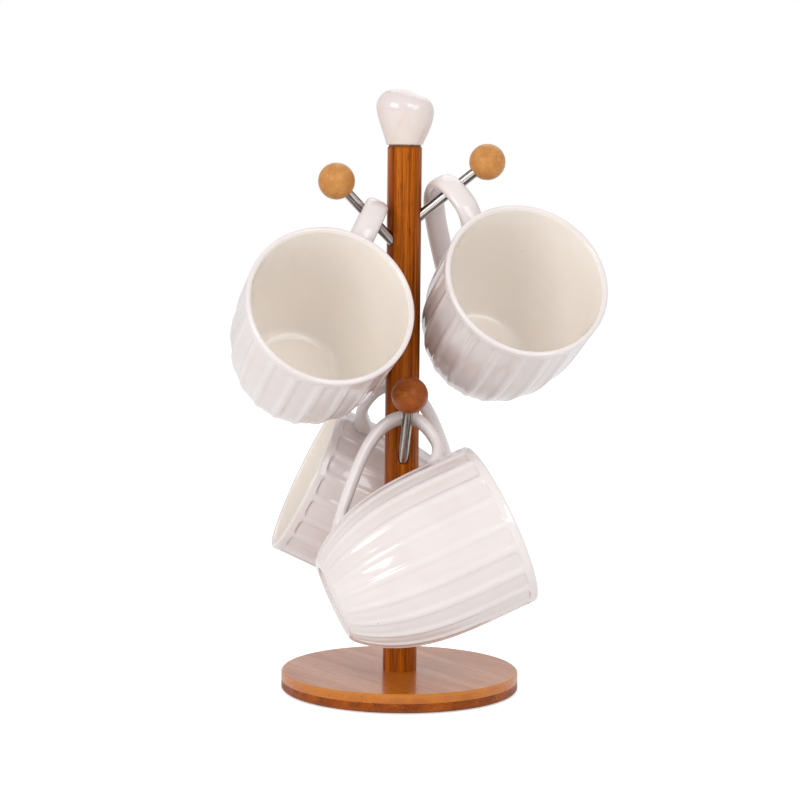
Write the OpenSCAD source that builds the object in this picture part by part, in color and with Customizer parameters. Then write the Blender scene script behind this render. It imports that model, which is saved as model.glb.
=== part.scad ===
/* [Base] */
// Diameter of the round base
base_d = 140; // [115:1:170]
// Thickness of the lower bamboo ply
base_lower_t = 5.4; // [4:0.1:8]
// Thickness of the upper bamboo ply
base_upper_t = 5.4; // [4:0.1:8]
// Chamfer on the base's outer edges
base_chamfer = 0.8; // [0.3:0.1:1.5]
// Thickness of the anti-slip pad under the base
pad_t = 0.8; // [0.6:0.1:2]
// How far the pad stays inside the base's edge
pad_inset = 6; // [3:1:15]

/* [Post] */
// Diameter of the post
post_d = 20; // [16.5:0.5:24]
// Height of the post above the base
post_h = 308; // [290:1:370]
// Chamfer round the post's top edge
post_chamfer = 0.7; // [0.3:0.1:1.5]

/* [Fixings] */
// Shank diameter of the countersunk screw that holds the post
screw_d = 5; // [4:0.5:6]
// Length of the screw
screw_l = 40; // [30:1:60]
// Head diameter of the screw
screw_head_d = 10; // [8:0.5:12]
// Diameter of the dowel that holds the finial
dowel_d = 6; // [5:0.5:8]
// Length of the dowel
dowel_l = 26; // [20:1:32]
// Thickness of the cork washer under the finial
washer_t = 0.6; // [0.4:0.1:1.5]

/* [Arms] */
// Diameter of the steel rods
rod_d = 6; // [5:0.5:7]
// Length of rod that shows between the post's side and the middle of its ball
rod_reach = 49; // [44:1:60]
// Depth that each rod is set into the post
rod_set = 12; // [8:1:13]
// Diameter of the wooden balls
ball_d = 21.2; // [18:0.1:24]
// Depth that each rod is set into its ball
ball_set = 15; // [10:1:17]

/* [Finial] */
// Width of the ceramic finial
finial_w = 33.6; // [28:0.2:42]
// Height of the ceramic finial
finial_h = 32; // [28:0.5:38]
// Depth of the ceramic finial
finial_depth = 25; // [22:0.5:32]

/* [Mugs] */
// Outer diameter of a mug at its rim
mug_d = 96; // [80:0.2:115]
// Height of a mug
mug_h = 105; // [88:1:126]
// Diameter of a mug's foot
foot_d = 48; // [40:0.2:58]
// Thickness of a mug's wall
mug_wall = 3.2; // [2.5:0.1:4.5]
// Thickness of a mug's floor
mug_floor = 6; // [4:0.5:8]
// How far the handle's inner side stands out from the mug's wall
handle_gap = 32; // [30:0.2:40]
// Width of the handle's strap
strap_w = 13.8; // [10:0.1:16]
// Thickness of the handle's strap
strap_t = 6.5; // [5:0.1:8]
// Extra drop of the rod inside the handle, since the rod crosses it at a slant
hook_drop = 2.4; // [2:0.1:5]

/* [Clearances] */
// Radial gap round each glued rod, dowel and screw
glue_gap = 0.05; // [0.02:0.01:0.15]
// Gap between a rod and the handle that hangs on it
hang_gap = 0.3; // [0.2:0.1:1]

/* [Hidden] */
$fn = 96;

bamboo = "peru";
dark_bamboo = "saddlebrown";
pale_bamboo = "burlywood";
steel = "silver";
ceramic = "ivory";

post_r = post_d / 2;
mug_r = mug_d / 2;
rod_r = rod_d / 2;
post_bottom = pad_t + base_lower_t + base_upper_t;
post_top = post_bottom + post_h;
finial_bottom = post_top + washer_t;
eps = 0.01;

// Each arm: height at which its line meets the post's axis, heading counter-clockwise from
// +X, and tilt above the horizontal.
UPPER_LEFT = [257.5, -146, 41.5];
UPPER_RIGHT = [272, -4, 39];
LOWER_FRONT = [128, -84, 50.5];
LOWER_BACK = [149, 102, 38.5];

// Each mug: heading and elevation of its mouth, roll of its handle about its axis, and the
// distance along the rod from the post's side to the middle of the handle.
MUG_UPPER_LEFT = [-74, 27, -29, 17.5];
MUG_UPPER_RIGHT = [-74, 29, 26, 18.5];
MUG_LOWER_FRONT = [12, 23.5, -30, 20.5];
MUG_LOWER_BACK = [-174, 25.5, -24, 22.5];

/* ---- frame of the arms ---- */

// Distance along a tilted rod from the post's axis to the post's side
function rod_start(arm) = post_r / cos(arm[2]);

module along_arm(arm, distance) {
    translate([0, 0, arm[0]])
        rotate([0, 90 - arm[2], arm[1]])
            translate([0, 0, distance])
                children();
}

/* ---- base ---- */

module chamfered_disc(d, t, low_chamfer, high_chamfer) {
    r = d / 2;
    rotate_extrude()
        polygon([
            [0, 0], [r - low_chamfer, 0], [r, low_chamfer],
            [r, t - high_chamfer], [r - high_chamfer, t], [0, t]
        ]);
}

module screw_hole() {
    translate([0, 0, pad_t - eps])
        cylinder(h = screw_l, d = screw_d + 2 * glue_gap);
    translate([0, 0, pad_t - eps])
        cylinder(
            h = (screw_head_d - screw_d) / 2 + glue_gap,
            d1 = screw_head_d + 2 * glue_gap,
            d2 = screw_d + 2 * glue_gap
        );
}

module anti_slip_pad() {
    color("dimgray")
        cylinder(h = pad_t, d = base_d - 2 * pad_inset);
}

module base_lower_ply() {
    color(dark_bamboo)
        difference() {
            translate([0, 0, pad_t])
                chamfered_disc(base_d, base_lower_t, base_chamfer, eps);
            screw_hole();
        }
}

module base_upper_ply() {
    color(bamboo)
        difference() {
            translate([0, 0, pad_t + base_lower_t])
                chamfered_disc(base_d, base_upper_t, eps, base_chamfer);
            screw_hole();
        }
}

module post_screw() {
    head_h = (screw_head_d - screw_d) / 2;
    color(steel)
        translate([0, 0, pad_t])
            rotate_extrude()
                polygon([
                    [0, 0], [screw_head_d / 2, 0], [screw_d / 2, head_h],
                    [screw_d / 2, screw_l - screw_d], [0, screw_l - screw_d / 2]
                ]);
}

/* ---- post ---- */

module arm_bore(arm) {
    along_arm(arm, rod_start(arm) - rod_set - glue_gap)
        cylinder(h = rod_set + post_d, d = rod_d + 2 * glue_gap);
}

module post() {
    color(bamboo)
        difference() {
            translate([0, 0, post_bottom])
                chamfered_disc(post_d, post_h, eps, post_chamfer);
            screw_hole();
            translate([0, 0, post_top - dowel_l / 2 - glue_gap])
                cylinder(h = dowel_l, d = dowel_d + 2 * glue_gap);
            for (arm = [UPPER_LEFT, UPPER_RIGHT, LOWER_FRONT, LOWER_BACK])
                arm_bore(arm);
        }
}

/* ---- arms ---- */

module arm_rod(arm) {
    first = rod_start(arm) - rod_set;
    last = rod_start(arm) + rod_reach - ball_d / 2 + ball_set;
    color(steel)
        along_arm(arm, first)
            cylinder(h = last - first, d = rod_d);
}

module arm_ball(arm) {
    centre = rod_start(arm) + rod_reach;
    color(pale_bamboo)
        along_arm(arm, centre)
            difference() {
                sphere(d = ball_d);
                translate([0, 0, -ball_d])
                    cylinder(h = ball_d / 2 + ball_set + glue_gap, d = rod_d + 2 * glue_gap);
            }
}

module arm_rod_upper_left() { arm_rod(UPPER_LEFT); }
module arm_rod_upper_right() { arm_rod(UPPER_RIGHT); }
module arm_rod_lower_front() { arm_rod(LOWER_FRONT); }
module arm_rod_lower_back() { arm_rod(LOWER_BACK); }
module arm_ball_upper_left() { arm_ball(UPPER_LEFT); }
module arm_ball_upper_right() { arm_ball(UPPER_RIGHT); }
module arm_ball_lower_front() { arm_ball(LOWER_FRONT); }
module arm_ball_lower_back() { arm_ball(LOWER_BACK); }

/* ---- finial ---- */

module finial_washer() {
    color("tan")
        translate([0, 0, post_top])
            difference() {
                cylinder(h = washer_t, d = post_d - 2 * post_chamfer);
                translate([0, 0, -eps])
                    cylinder(h = washer_t + 2 * eps, d = dowel_d + 2 * glue_gap);
            }
}

module finial_dowel() {
    color(pale_bamboo)
        translate([0, 0, post_top - dowel_l / 2])
            cylinder(h = dowel_l, d = dowel_d);
}

// The heart is uneven: its right lobe is smaller than the left one, and sits lower.
left_lobe_share = 0.66;   // of the finial's width
right_lobe_share = 0.5;   // of the finial's width
right_drop_share = 0.1;   // of the finial's height
seat_rim_h = 1;
LOBE_FACETS = 32;

// One side of the heart: from the seat up to a lobe of its own size
module finial_lobe(lobe_d, side, low) {
    hull() {
        cylinder(h = seat_rim_h, d = post_d, $fn = LOBE_FACETS);
        translate([side * (finial_w - lobe_d) / 2, 0, finial_h - low - lobe_d / 2])
            scale([1, finial_depth / lobe_d, 1])
                sphere(d = lobe_d, $fn = LOBE_FACETS);
    }
}

module finial() {
    color(ceramic)
        translate([0, 0, finial_bottom])
            difference() {
                union() {
                    finial_lobe(finial_w * left_lobe_share, -1, 0);
                    finial_lobe(finial_w * right_lobe_share, 1, finial_h * right_drop_share);
                }
                translate([0, 0, -eps])
                    cylinder(h = dowel_l / 2 - washer_t + glue_gap + eps, d = dowel_d + 2 * glue_gap);
            }
}

/* ---- mugs ---- */

// A mug stands on z = 0 with its handle towards +X.
PROFILE_STEPS = 18;
LIP_STEPS = 8;
HANDLE_STEPS = 9;
STRAP_SIDES = 14;
MUG_FACETS = 120;
belly_share = 0.79;      // share of the height over which the side still swells
belly_fullness = 0.87;   // below 1 fills the belly out, above 1 thins it
foot_recess = 1.5;
foot_ring_w = 4;

// Handle: heights are shares of the mug's height, and the rest is in millimetres.
leg_share = 0.105;       // where the long leg starts
leg_wall_share = 0.125;  // where it comes out of the wall
leg_sink = 5;            // how deep in the wall it starts
leg_pull = [18, 21];     // how far its curve is drawn out and up from there
leg_top_share = 0.53;    // where it starts to run straight up
apex_share = 0.735;      // where the handle stands out furthest
bow_rise = 14.5;         // how far the bow still runs straight up
bow_share = 0.88;        // where the bow meets the wall
bow_sink = 1;            // how far it goes past the wall's inner side
bow_pull = [13, 4];      // how far its curve is drawn back out and up from there
hook_rise = 4;           // height of the hanging point above the apex

// Outer radius at height z: a full round belly that ends in a straight upper wall
function mug_outer_r(z) =
    let (t = min(z / (mug_h * belly_share), 1))
    foot_d / 2 + (mug_r - foot_d / 2) * pow(1 - pow(1 - t, 3), belly_fullness);

// Heights crowd towards the foot, where the side curves most.
function profile_z(i, low) = low + (mug_h - mug_wall / 2 - low) * pow(i / PROFILE_STEPS, 1.6);

module mug_body_outline() {
    lip_r = mug_wall / 2;
    polygon(concat(
        [[0, 0]],
        [for (i = [0:PROFILE_STEPS]) [mug_outer_r(profile_z(i, 0)), profile_z(i, 0)]],
        [for (i = [1:LIP_STEPS]) let (a = i * 180 / LIP_STEPS)
            [mug_r - lip_r + lip_r * cos(a), mug_h - lip_r + lip_r * sin(a)]],
        [[0, mug_h - lip_r]]
    ));
}

module mug_inside_outline() {
    polygon(concat(
        [[0, mug_floor]],
        [for (i = [0:PROFILE_STEPS])
            let (z = profile_z(i, mug_floor)) [mug_outer_r(z) - mug_wall, z]],
        [[mug_r - mug_wall, mug_h + mug_wall], [0, mug_h + mug_wall]]
    ));
}

// Cubic curve through four control points
function bezier(p, t) =
    pow(1 - t, 3) * p[0] + 3 * pow(1 - t, 2) * t * p[1]
    + 3 * (1 - t) * t * t * p[2] + pow(t, 3) * p[3];
function bezier_heading(p, t) =
    pow(1 - t, 2) * (p[1] - p[0]) + 2 * (1 - t) * t * (p[2] - p[1]) + t * t * (p[3] - p[2]);

// Middle line of the handle: a long leg out from low on the side, and a short bow back in
// under the rim. Both meet at the apex, where the strap runs straight up.
apex = [mug_r + handle_gap + strap_t / 2, mug_h * apex_share];
leg_foot = [mug_outer_r(mug_h * leg_wall_share) - leg_sink, mug_h * leg_share];
leg_curve = [leg_foot, leg_foot + leg_pull, [apex[0], mug_h * leg_top_share], apex];
bow_end = [mug_r - mug_wall - bow_sink, mug_h * bow_share];
bow_curve = [
    apex, [apex[0], apex[1] + bow_rise], [apex[0] - bow_pull[0], bow_end[1] + bow_pull[1]], bow_end
];

// The strap is an oval ring carried along both curves.
strap_line = concat(
    [for (i = [0:HANDLE_STEPS]) [bezier(leg_curve, i / HANDLE_STEPS),
        bezier_heading(leg_curve, i / HANDLE_STEPS)]],
    [for (i = [1:HANDLE_STEPS]) [bezier(bow_curve, i / HANDLE_STEPS),
        bezier_heading(bow_curve, i / HANDLE_STEPS)]]
);

function strap_ring(point, heading) =
    let (out = [heading[1], -heading[0]] / norm(heading))
    [for (k = [0:STRAP_SIDES - 1])
        let (a = 360 * k / STRAP_SIDES, flat = point + out * cos(a) * strap_t / 2)
        [flat[0], sin(a) * strap_w / 2, flat[1]]];

module mug_handle() {
    rings = len(strap_line);
    points = [for (s = strap_line) each strap_ring(s[0], s[1])];
    sides = [for (i = [0:rings - 2]) for (k = [0:STRAP_SIDES - 1])
        let (a = i * STRAP_SIDES + k, b = i * STRAP_SIDES + (k + 1) % STRAP_SIDES)
        [a, a + STRAP_SIDES, b + STRAP_SIDES, b]];
    first_end = [for (k = [0:STRAP_SIDES - 1]) k];
    last_end = [for (k = [0:STRAP_SIDES - 1]) rings * STRAP_SIDES - 1 - k];
    polyhedron(points, concat(sides, [first_end, last_end]), convexity = 6);
}

module mug() {
    color(ceramic)
        difference() {
            union() {
                rotate_extrude($fn = MUG_FACETS) mug_body_outline();
                mug_handle();
            }
            rotate_extrude($fn = MUG_FACETS) mug_inside_outline();
            translate([0, 0, -eps])
                cylinder(h = foot_recess + eps, d = foot_d - 2 * foot_ring_w);
        }
}

// Middle of the rod where it carries the handle. The handle hangs by its highest point,
// which lies a little towards the mouth from the apex.
hook_local = [apex[0] - strap_t / 2 - rod_r - hang_gap - hook_drop, 0, apex[1] + hook_rise];

module hung_mug(arm, pose) {
    along_arm(arm, rod_start(arm) + pose[3])
        rotate([0, arm[2] - 90, 0])
            rotate([0, 0, -arm[1]])
                rotate([0, 90 - pose[1], pose[0]])
                    rotate([0, 0, 180 + pose[2]])
                        translate(-hook_local)
                            mug();
}

module mug_upper_left() { hung_mug(UPPER_LEFT, MUG_UPPER_LEFT); }
module mug_upper_right() { hung_mug(UPPER_RIGHT, MUG_UPPER_RIGHT); }
module mug_lower_front() { hung_mug(LOWER_FRONT, MUG_LOWER_FRONT); }
module mug_lower_back() { hung_mug(LOWER_BACK, MUG_LOWER_BACK); }

anti_slip_pad();
base_lower_ply();
base_upper_ply();
post();
post_screw();
finial();
finial_dowel();
finial_washer();
arm_rod_upper_left();
arm_rod_upper_right();
arm_rod_lower_front();
arm_rod_lower_back();
arm_ball_upper_left();
arm_ball_upper_right();
arm_ball_lower_front();
arm_ball_lower_back();
mug_upper_left();
mug_upper_right();
mug_lower_front();
mug_lower_back();
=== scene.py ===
# Mug tree: bamboo base and post, four steel arms with wooden balls, four fluted mugs and a heart finial
import bmesh
import bpy
import math
from mathutils import Matrix, Vector


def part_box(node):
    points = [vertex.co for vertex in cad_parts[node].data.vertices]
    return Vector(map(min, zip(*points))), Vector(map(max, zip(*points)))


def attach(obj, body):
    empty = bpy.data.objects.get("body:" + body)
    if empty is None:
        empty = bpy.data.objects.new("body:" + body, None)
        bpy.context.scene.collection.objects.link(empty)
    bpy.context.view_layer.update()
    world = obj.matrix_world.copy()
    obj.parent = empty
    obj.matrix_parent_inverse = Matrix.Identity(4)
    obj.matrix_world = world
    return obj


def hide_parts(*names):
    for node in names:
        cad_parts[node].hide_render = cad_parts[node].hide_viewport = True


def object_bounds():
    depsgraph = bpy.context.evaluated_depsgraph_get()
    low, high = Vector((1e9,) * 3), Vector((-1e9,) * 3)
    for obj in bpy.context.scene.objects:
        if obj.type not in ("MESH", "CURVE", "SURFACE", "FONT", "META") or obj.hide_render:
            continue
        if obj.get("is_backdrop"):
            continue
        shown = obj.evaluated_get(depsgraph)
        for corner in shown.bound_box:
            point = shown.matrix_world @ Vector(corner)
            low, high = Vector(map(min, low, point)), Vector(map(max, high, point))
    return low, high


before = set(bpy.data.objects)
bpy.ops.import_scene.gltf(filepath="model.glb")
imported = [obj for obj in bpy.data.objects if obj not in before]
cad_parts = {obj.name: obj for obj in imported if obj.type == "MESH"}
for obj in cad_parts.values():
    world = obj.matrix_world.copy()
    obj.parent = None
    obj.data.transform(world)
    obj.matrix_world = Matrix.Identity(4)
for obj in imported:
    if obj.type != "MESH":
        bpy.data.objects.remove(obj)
cadLow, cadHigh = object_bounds()
mm = 0.001
print("frame loaded:", len(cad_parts), "nodes")


# helpers for modelling

def startFresh():
    # nothing selected, object mode
    if bpy.context.object and bpy.context.object.mode != "OBJECT":
        bpy.ops.object.mode_set(mode="OBJECT")
    bpy.ops.object.select_all(action="DESELECT")


def workOn(obj):
    startFresh()
    obj.select_set(True)
    bpy.context.view_layer.objects.active = obj


def pickPoints(obj, test):
    # in edit mode, selects the points whose place passes the test
    bpy.ops.mesh.select_mode(type="VERT")
    cage = bmesh.from_edit_mesh(obj.data)
    for v in cage.verts:
        v.select_set(test(v.co))
    cage.select_flush_mode()
    bmesh.update_edit_mesh(obj.data)


def pickFaces(obj, test):
    # in edit mode, selects the faces whose middle and normal pass the test
    bpy.ops.mesh.select_mode(type="FACE")
    cage = bmesh.from_edit_mesh(obj.data)
    for f in cage.faces:
        f.select_set(test(f.calc_center_median(), f.normal))
    cage.select_flush_mode()
    bmesh.update_edit_mesh(obj.data)


def turnOnLathe(name, rings, sides):
    # a round end face is carried through rings of (height, radius), so the body is closed at every step
    startFresh()
    height, radius = rings[0]
    bpy.ops.mesh.primitive_circle_add(vertices=sides, radius=radius * mm, fill_type="NGON",
                                      location=(0, 0, height * mm))
    obj = bpy.context.object
    obj.name = name
    bpy.ops.object.transform_apply(location=True, rotation=False, scale=False)
    bpy.ops.object.mode_set(mode="EDIT")
    bpy.ops.mesh.select_mode(type="FACE")
    bpy.ops.mesh.select_all(action="SELECT")
    for nextHeight, nextRadius in rings[1:]:
        bpy.ops.mesh.extrude_region_move(
            TRANSFORM_OT_translate={"value": (0, 0, (nextHeight - height) * mm)})
        grow = nextRadius / radius
        bpy.ops.transform.resize(value=(grow, grow, 1), center_override=(0, 0, nextHeight * mm))
        height, radius = nextHeight, nextRadius
    bpy.ops.mesh.select_all(action="SELECT")
    bpy.ops.mesh.normals_make_consistent(inside=False)
    bpy.ops.object.mode_set(mode="OBJECT")
    return obj


def isLevel(co, height):
    return abs(co.z - height * mm) < 0.01 * mm


def gridOver(obj, height, radius, span):
    # the many-sided face that closes a flat round is laid again as a grid of squares
    bpy.ops.object.mode_set(mode="EDIT")
    pickFaces(obj, lambda co, normal: isLevel(co, height) and math.hypot(co.x, co.y) < 0.1 * mm)
    bpy.ops.mesh.delete(type="ONLY_FACE")
    pickPoints(obj, lambda co: isLevel(co, height) and abs(math.hypot(co.x, co.y) - radius * mm) < 0.02 * mm)
    bpy.ops.mesh.fill_grid(span=span)
    bpy.ops.object.mode_set(mode="OBJECT")


def smoothOut(obj, levels):
    workOn(obj)
    soften = obj.modifiers.new("soften", "SUBSURF")
    soften.levels = levels
    soften.render_levels = levels
    bpy.ops.object.modifier_apply(modifier=soften.name)
    bpy.ops.object.shade_smooth()


def keepOwnPlace(obj):
    # each point's place in the piece's own upright frame, for grain that follows the piece
    spots = obj.data.attributes.new("ownPlace", "FLOAT_VECTOR", "POINT")
    for v in obj.data.vertices:
        spots.data[v.index].vector = v.co


def turnAndPlace(obj, roll, lean, heading, place):
    # rolled about its own axis, leant over and turned to its heading, then moved; all kept in the mesh
    workOn(obj)
    for turn in ((0, 0, roll), (0, lean, heading)):
        obj.rotation_euler = [math.radians(a) for a in turn]
        bpy.ops.object.transform_apply(location=False, rotation=True, scale=False)
    obj.location = Vector(place) * mm
    bpy.ops.object.transform_apply(location=True, rotation=False, scale=False)


def armDirection(heading, tilt):
    h, t = math.radians(heading), math.radians(tilt)
    return Vector((math.cos(t) * math.cos(h), math.cos(t) * math.sin(h), math.sin(t)))


def copyOf(obj, name):
    workOn(obj)
    bpy.ops.object.duplicate(linked=False)
    bpy.context.object.name = name
    return bpy.context.object


def finishPiece(obj, body, nodes):
    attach(obj, body)
    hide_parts(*nodes)


# helpers for shaders

def addNode(tree, kind, values=None, **settings):
    node = tree.nodes.new(kind)
    for key, value in settings.items():
        setattr(node, key, value)
    for socket, value in (values or {}).items():
        node.inputs[socket].default_value = value
    return node


def newGroup(name, takes, gives):
    tree = bpy.data.node_groups.new(name, "ShaderNodeTree")
    for label, kind, value in takes:
        socket = tree.interface.new_socket(name=label, in_out="INPUT", socket_type="NodeSocket" + kind)
        if value is not None:
            socket.default_value = value
    for label, kind in gives:
        tree.interface.new_socket(name=label, in_out="OUTPUT", socket_type="NodeSocket" + kind)
    return tree, tree.nodes.new("NodeGroupInput"), tree.nodes.new("NodeGroupOutput")


def feed(tree, value, socket):
    # value is a socket to link from, or a plain value
    if isinstance(value, bpy.types.NodeSocket):
        tree.links.new(value, socket)
    else:
        socket.default_value = value


def blendColours(tree, factor, low, high):
    mix = addNode(tree, "ShaderNodeMix", data_type="RGBA")
    for index, value in ((0, factor), (6, low), (7, high)):      # the colour sockets of the Mix node
        feed(tree, value, mix.inputs[index])
    return mix.outputs[2]


def sums(tree, operation, *values):
    node = addNode(tree, "ShaderNodeMath", operation=operation)
    for index, value in enumerate(values):
        feed(tree, value, node.inputs[index])
    return node.outputs[0]


def spread(tree, value, fromLow, fromHigh, toLow=0.0, toHigh=1.0):
    node = addNode(tree, "ShaderNodeMapRange",
                   {"From Min": fromLow, "From Max": fromHigh, "To Min": toLow, "To Max": toHigh},
                   interpolation_type="SMOOTHSTEP")
    tree.links.new(value, node.inputs["Value"])
    return node.outputs["Result"]


def fibreGroup():
    # bamboo and wood: long fibres along Z of the incoming vector, wider strips, and dark flecks; on the steel
    # the same pattern gives fine drawing lines and painted reflection streaks
    tree, takes, gives = newGroup("fibreGrainAndStreaks", [
        ("Vector", "Vector", None),
        ("Pale", "Color", (0.6, 0.35, 0.16, 1)), ("Dark", "Color", (0.3, 0.13, 0.05, 1)),
        ("Fleck", "Color", (0.12, 0.05, 0.02, 1)),
        ("Fibre Width", "Float", 0.0005), ("Fibre Length", "Float", 0.03),
        ("Strip Width", "Float", 0.004), ("Fleck Amount", "Float", 0.3)],
        [("Color", "Color"), ("Strength", "Float"), ("Fleck Mask", "Float")])

    def stretched(width, length, detail, seed):
        # noise drawn out along Z
        size = addNode(tree, "ShaderNodeCombineXYZ")
        for axis, value in (("X", width), ("Y", width), ("Z", length)):
            feed(tree, value, size.inputs[axis])
        shrink = addNode(tree, "ShaderNodeVectorMath", operation="DIVIDE")
        tree.links.new(takes.outputs["Vector"], shrink.inputs[0])
        tree.links.new(size.outputs[0], shrink.inputs[1])
        shift = addNode(tree, "ShaderNodeVectorMath", operation="ADD")
        shift.inputs[1].default_value = (seed, seed * 1.7, seed * 0.6)
        tree.links.new(shrink.outputs[0], shift.inputs[0])
        noise = addNode(tree, "ShaderNodeTexNoise", {"Scale": 1.0, "Detail": detail, "Roughness": 0.55})
        tree.links.new(shift.outputs[0], noise.inputs["Vector"])
        return noise.outputs["Fac"]

    width, length = takes.outputs["Fibre Width"], takes.outputs["Fibre Length"]
    fine = stretched(width, length, 3.0, 3.1)
    strips = stretched(takes.outputs["Strip Width"], sums(tree, "MULTIPLY", length, 6.0), 2.0, 9.4)
    flecks = stretched(sums(tree, "MULTIPLY", width, 1.3), sums(tree, "MULTIPLY", length, 0.16), 1.0, 21.0)
    both = sums(tree, "ADD", sums(tree, "MULTIPLY", fine, 0.5), sums(tree, "MULTIPLY", strips, 0.5))
    strength = spread(tree, both, 0.34, 0.66)
    fleckMask = sums(tree, "MULTIPLY", spread(tree, flecks, 0.6, 0.72), takes.outputs["Fleck Amount"])
    wood = blendColours(tree, strength, takes.outputs["Dark"], takes.outputs["Pale"])
    tree.links.new(blendColours(tree, fleckMask, wood, takes.outputs["Fleck"]), gives.inputs["Color"])
    tree.links.new(strength, gives.inputs["Strength"])
    tree.links.new(fleckMask, gives.inputs["Fleck Mask"])
    return tree


def easedEdgeGroup():
    # mask of the rounded corner of a turned piece, from its radius and the height of its corner
    tree, takes, gives = newGroup("easedEdge", [
        ("Vector", "Vector", None), ("Radius", "Float", 0.07), ("Height", "Float", 0.011),
        ("Width", "Float", 0.0012)], [("Mask", "Float")])
    parts = addNode(tree, "ShaderNodeSeparateXYZ")
    tree.links.new(takes.outputs["Vector"], parts.inputs[0])
    across = sums(tree, "SQRT", sums(tree, "ADD", sums(tree, "POWER", parts.outputs["X"], 2.0),
                                     sums(tree, "POWER", parts.outputs["Y"], 2.0)))
    inwards = sums(tree, "ABSOLUTE", sums(tree, "SUBTRACT", across, takes.outputs["Radius"]))
    below = sums(tree, "ABSOLUTE", sums(tree, "SUBTRACT", parts.outputs["Z"], takes.outputs["Height"]))
    noise = addNode(tree, "ShaderNodeTexNoise", {"Scale": 260.0, "Detail": 3.0})
    tree.links.new(takes.outputs["Vector"], noise.inputs["Vector"])
    reach = sums(tree, "DIVIDE", sums(tree, "ADD", inwards, below), takes.outputs["Width"])
    uneven = sums(tree, "ADD", reach, sums(tree, "SUBTRACT", noise.outputs["Fac"], 0.5))
    tree.links.new(spread(tree, uneven, 0.5, 1.4, 1.0, 0.0), gives.inputs["Mask"])
    return tree


def glazeGroup():
    # fired glaze: soft cloudiness, faint orange peel and a few pinholes
    tree, takes, gives = newGroup("glazeFlow", [
        ("Vector", "Vector", None), ("Thick", "Color", (0.8, 0.78, 0.76, 1)),
        ("Thin", "Color", (0.7, 0.64, 0.6, 1)), ("Speck", "Color", (0.3, 0.22, 0.17, 1)),
        ("Painted Shade", "Float", 0.0), ("Pinholes", "Float", 0.5)],
        [("Color", "Color"), ("Roughness", "Float"), ("Height", "Float")])
    clouds = addNode(tree, "ShaderNodeTexNoise", {"Scale": 38.0, "Detail": 2.0, "Roughness": 0.5})
    peel = addNode(tree, "ShaderNodeTexNoise", {"Scale": 260.0, "Detail": 1.0})
    spots = addNode(tree, "ShaderNodeTexVoronoi", {"Scale": 85.0, "Randomness": 1.0})
    choose = addNode(tree, "ShaderNodeSeparateColor")
    for texture in (clouds, peel, spots):
        tree.links.new(takes.outputs["Vector"], texture.inputs["Vector"])
    tree.links.new(spots.outputs["Color"], choose.inputs[0])
    rare = sums(tree, "GREATER_THAN", choose.outputs[0], 0.93)
    small = spread(tree, spots.outputs["Distance"], 0.02, 0.06, 1.0, 0.0)
    holes = sums(tree, "MULTIPLY", sums(tree, "MULTIPLY", rare, small), takes.outputs["Pinholes"])
    # painted shade: the input that follows the recesses pushes them towards the darker Thin colour
    thin = sums(tree, "ADD", sums(tree, "MULTIPLY", spread(tree, clouds.outputs["Fac"], 0.35, 0.7), 0.35),
                takes.outputs["Painted Shade"])
    body = blendColours(tree, thin, takes.outputs["Thick"], takes.outputs["Thin"])
    tree.links.new(blendColours(tree, holes, body, takes.outputs["Speck"]), gives.inputs["Color"])
    tree.links.new(spread(tree, clouds.outputs["Fac"], 0.3, 0.7, 0.07, 0.14), gives.inputs["Roughness"])
    tree.links.new(sums(tree, "SUBTRACT", sums(tree, "MULTIPLY", peel.outputs["Fac"], 0.25), holes),
                   gives.inputs["Height"])
    return tree


def holeShadowGroup():
    # painted shadow: mask of the darkened rim where a rod enters, standing in for the shade inside the hole,
    # from a point on the rod's line and its direction
    tree, takes, gives = newGroup("paintedHoleShadow", [
        ("Vector", "Vector", None), ("Start", "Vector", (0, 0, 0)), ("Along", "Vector", (0, 0, 1)),
        ("Radius", "Float", 0.003), ("Width", "Float", 0.0008)], [("Mask", "Float")])
    away = addNode(tree, "ShaderNodeVectorMath", operation="SUBTRACT")
    cross = addNode(tree, "ShaderNodeVectorMath", operation="CROSS_PRODUCT")
    length = addNode(tree, "ShaderNodeVectorMath", operation="LENGTH")
    ahead = addNode(tree, "ShaderNodeVectorMath", operation="DOT_PRODUCT")
    tree.links.new(takes.outputs["Vector"], away.inputs[0])
    tree.links.new(takes.outputs["Start"], away.inputs[1])
    for node in (cross, ahead):
        tree.links.new(away.outputs[0], node.inputs[0])
        tree.links.new(takes.outputs["Along"], node.inputs[1])
    tree.links.new(cross.outputs[0], length.inputs[0])
    beyond = sums(tree, "DIVIDE", sums(tree, "SUBTRACT", length.outputs["Value"], takes.outputs["Radius"]),
                  takes.outputs["Width"])
    mask = sums(tree, "MULTIPLY", spread(tree, beyond, 0.2, 1.0, 1.0, 0.0),
                sums(tree, "GREATER_THAN", ahead.outputs["Value"], 0.0))
    tree.links.new(mask, gives.inputs["Mask"])
    return tree


fibreGrainAndStreaks = fibreGroup()
easedEdge = easedEdgeGroup()
glazeFlow = glazeGroup()
paintedHoleShadow = holeShadowGroup()


def newFinish(name, settings):
    # an empty material with its Principled shader, set up on the shader's own sockets
    finish = bpy.data.materials.new(name)
    finish.use_nodes = True
    tree = finish.node_tree
    shader = tree.nodes["Principled BSDF"]
    for socket, value in settings.items():
        shader.inputs[socket].default_value = value
    return finish, tree, shader


def placeGroup(tree, group, values):
    node = tree.nodes.new("ShaderNodeGroup")
    node.node_tree = group
    for socket, value in values.items():
        node.inputs[socket].default_value = value
    return node


def bumpFrom(tree, shader, height, strength, distance):
    bump = addNode(tree, "ShaderNodeBump", {"Strength": strength, "Distance": distance})
    tree.links.new(height, bump.inputs["Height"])
    tree.links.new(bump.outputs["Normal"], shader.inputs["Normal"])


def ownVector(tree, ownFrame=False):
    # object coordinates, or each point's place in the piece's kept own frame
    if ownFrame:
        return addNode(tree, "ShaderNodeAttribute", attribute_name="ownPlace").outputs["Vector"]
    return addNode(tree, "ShaderNodeTexCoord").outputs["Object"]


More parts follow.
